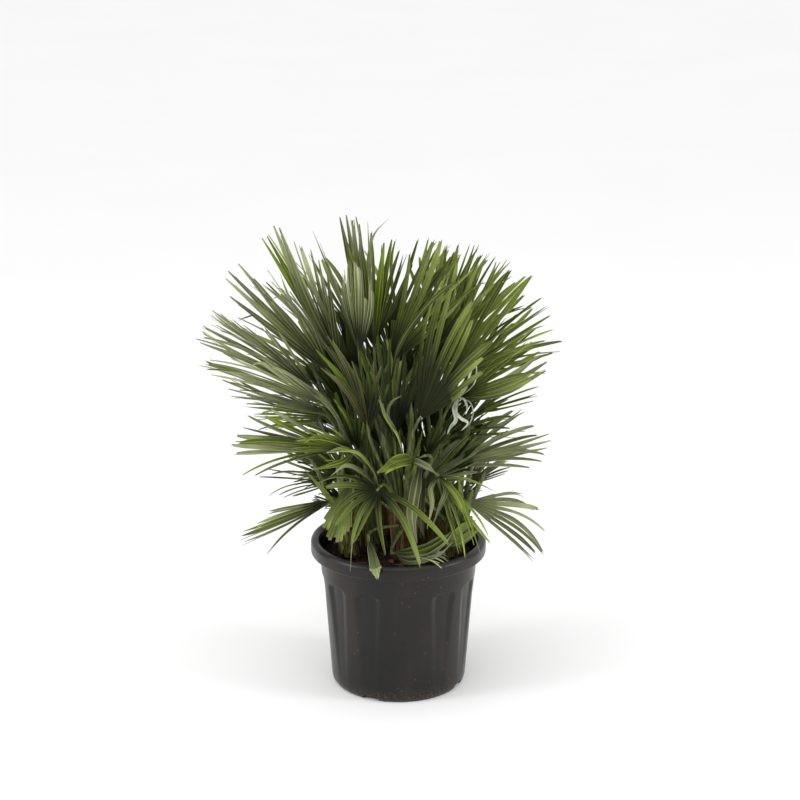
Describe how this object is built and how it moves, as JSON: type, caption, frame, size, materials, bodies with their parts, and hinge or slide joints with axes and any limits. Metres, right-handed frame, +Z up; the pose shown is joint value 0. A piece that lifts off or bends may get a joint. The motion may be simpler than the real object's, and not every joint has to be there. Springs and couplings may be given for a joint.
{
  "type": "potted fan palm",
  "caption": "Bushy clump of short fibrous stems with stiff fan-shaped fronds on long stalks, growing in a fluted black plastic nursery pot filled with soil.",
  "frame": {"origin": "middle of the pot's flat underside, on the floor", "axes": "+Z up along the plant, +X to the right and -Y towards the front as pictured"},
  "size_m": [0.5684, 0.5167, 0.7489],
  "materials": {
    "pot_plastic": "dark charcoal moulded plastic, slightly glossy, dusty",
    "soil": "moist dark brown peat with bark chips",
    "stem_fibre": "coarse brown fibre and stubs of old leaf bases",
    "leaf": "stiff pleated leaflets, satin grey-green to yellow-green"
  },
  "bodies": {
    "root": {"pot": "pot_plastic", "soil": "soil", "stem_back_left": "stem_fibre", "stem_back_right": "stem_fibre", "stem_front": "stem_fibre", "stem_left": "stem_fibre", "stem_right": "stem_fibre", "shoot_left": "stem_fibre", "shoot_right": "stem_fibre", "frond_back_bottom_left": "leaf", "frond_back_bottom_right": "leaf", "frond_back_high_left": "leaf", "frond_back_high_middle": "leaf", "frond_back_high_right": "leaf", "frond_back_low": "leaf", "frond_back_low_left": "leaf", "frond_back_low_right": "leaf", "frond_back_middle": "leaf", "frond_back_middle_left": "leaf", "frond_back_middle_right": "leaf", "frond_back_right": "leaf", "frond_centre_front": "leaf", "frond_centre_left": "leaf", "frond_centre_right": "leaf", "frond_front_fan": "leaf", "frond_front_folded": "leaf", "frond_front_hanging": "leaf", "frond_front_left": "leaf", "frond_front_left_low": "leaf", "frond_front_low": "leaf", "frond_front_lying": "leaf", "frond_front_right_low": "leaf", "frond_inner_middle": "leaf", "frond_left_bottom": "leaf", "frond_left_bottom_back": "leaf", "frond_left_front": "leaf", "frond_left_high": "leaf", "frond_left_high_back": "leaf", "frond_left_low": "leaf", "frond_left_low_back": "leaf", "frond_left_lower": "leaf", "frond_left_middle": "leaf", "frond_left_middle_back": "leaf", "frond_left_top": "leaf", "frond_low_left": "leaf", "frond_low_right": "leaf", "frond_middle_top": "leaf", "frond_right_bottom": "leaf", "frond_right_front": "leaf", "frond_right_high": "leaf", "frond_right_high_back": "leaf", "frond_right_low_back": "leaf", "frond_right_lower": "leaf", "frond_right_middle": "leaf", "frond_right_top": "leaf", "frond_right_top_back": "leaf", "frond_top_front": "leaf", "frond_top_left": "leaf", "frond_top_middle": "leaf", "frond_top_right": "leaf"}
  },
  "joints": []
}
